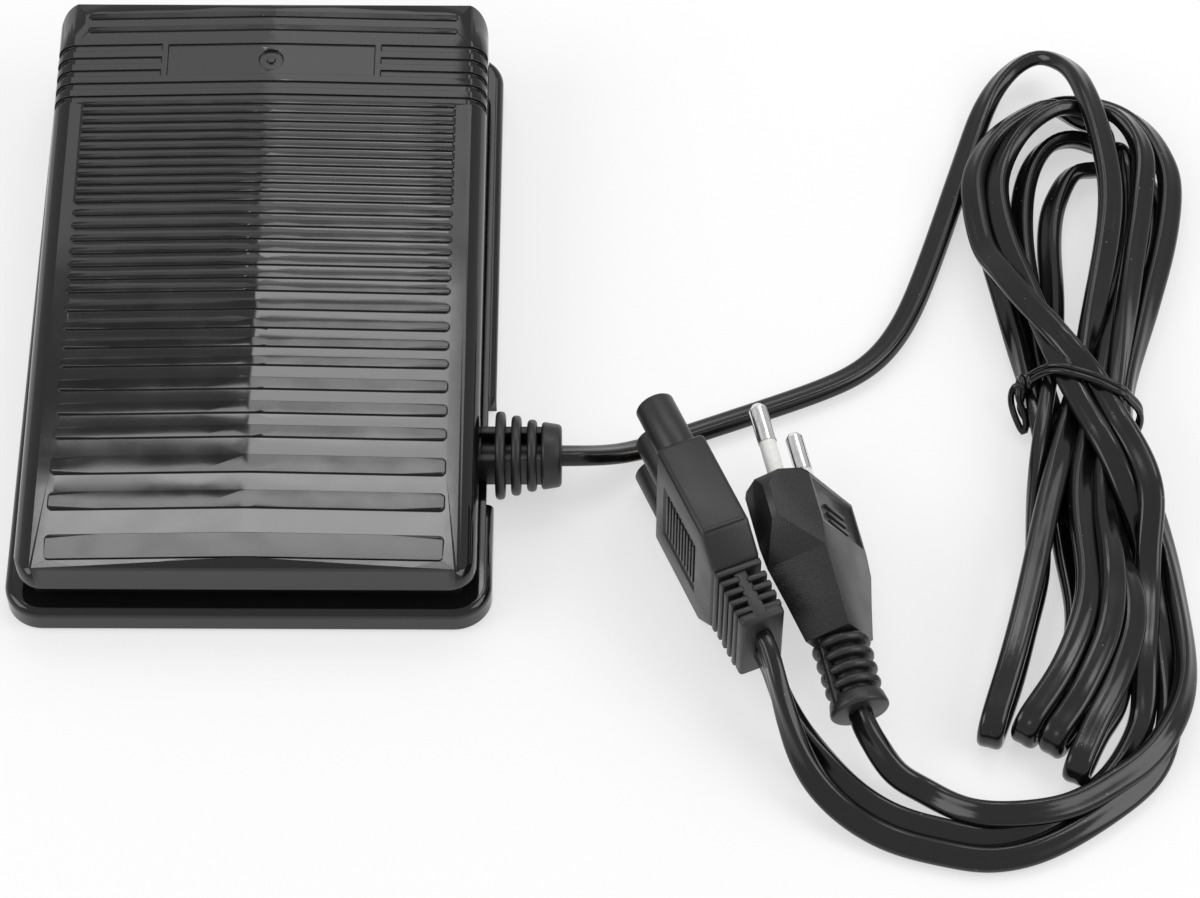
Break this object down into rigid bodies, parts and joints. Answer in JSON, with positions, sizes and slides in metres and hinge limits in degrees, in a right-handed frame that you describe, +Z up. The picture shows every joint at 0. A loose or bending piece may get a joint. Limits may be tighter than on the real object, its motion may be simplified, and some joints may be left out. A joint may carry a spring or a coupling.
{
  "type": "sewing machine foot pedal",
  "caption": "Electronic foot pedal with a sprung ribbed treadle on a tray base, a tied lead, a machine connector and a flat mains plug, for setting a sewing machine's speed.",
  "frame": {"origin": "centre of the base's outline, on the surface that the feet stand on", "axes": "+X towards the side that the lead leaves, +Y away from the user along the treadle, +Z up"},
  "size_m": [0.2535, 0.2092, 0.0336],
  "materials": {
    "black_gloss": "glossy moulded plastic",
    "black_matte": "matte grained plastic",
    "cord": "soft glossy sheath",
    "rubber": "matte rubber",
    "steel": "zinc plated",
    "aluminium": "plain",
    "brass": "plain",
    "nickel": "nickel plated",
    "sleeve": "smooth",
    "board": "laminate",
    "black_part": "moulded",
    "capacitor": "dipped",
    "ferrite": "pressed",
    "copper": "enamelled wire",
    "resistor": "lacquered",
    "diac": "glass bodied",
    "terminal": "moulded",
    "guard": "moulded",
    "wire": "sheathed"
  },
  "bodies": {
    "base": {"base_tray": "black_gloss", "rubber_feet": "rubber", "hinge_pin": "steel", "pin_clips": "steel", "return_springs": "steel", "bump_stops": "rubber", "circuit_board": "board", "board_screws": "steel", "heat_sink": "aluminium", "triac": "black_part", "triac_screw": "steel", "filter_capacitor": "capacitor", "choke_core": "ferrite", "choke_winding": "copper", "resistors": "resistor", "diac": "diac", "terminal_block": "terminal", "terminal_screws": "steel", "guard_cover": "guard", "guard_screws": "steel", "plunger_housing": "guard", "housing_screws": "steel", "plunger_spring": "steel", "resistor_strip": "ferrite", "strain_relief": "black_matte", "cord_tail": "cord", "lead_wires": "wire", "cord_clamp": "black_matte", "clamp_screws": "steel", "pedal_cord": "cord", "cord_hank": "cord", "hank_tie": "black_matte", "connector_cord": "cord", "mains_cord_start": "cord", "mains_cord_end": "cord", "machine_connector": "black_matte", "connector_barrels": "black_matte", "connector_boot": "black_matte", "connector_sockets": "brass", "mains_plug": "black_matte", "plug_pins": "nickel", "pin_sleeves": "sleeve"},
    "treadle": {"treadle_cover": "black_gloss"},
    "plunger": {"plunger": "guard", "wiper_contact": "brass"}
  },
  "joints": [
    {"name": "treadle_hinge", "type": "hinge", "parent": "base", "child": "treadle", "pos_m": [0, -0.062, 0.0132], "axis": [-1, 0, 0], "range_deg": [0, 3.2], "stiffness_Nm_per_rad": 6, "springref_deg": -6.88, "deforming": ["return_springs"]},
    {"name": "plunger_slide", "type": "slide", "parent": "base", "child": "plunger", "axis": [0, 0, -1], "range_m": [0, 0.0042], "deforming": ["plunger_spring"]}
  ],
  "couplings": [
    {"joint": "plunger_slide", "follows": "treadle_hinge", "m_per_rad": 0.074}
  ]
}
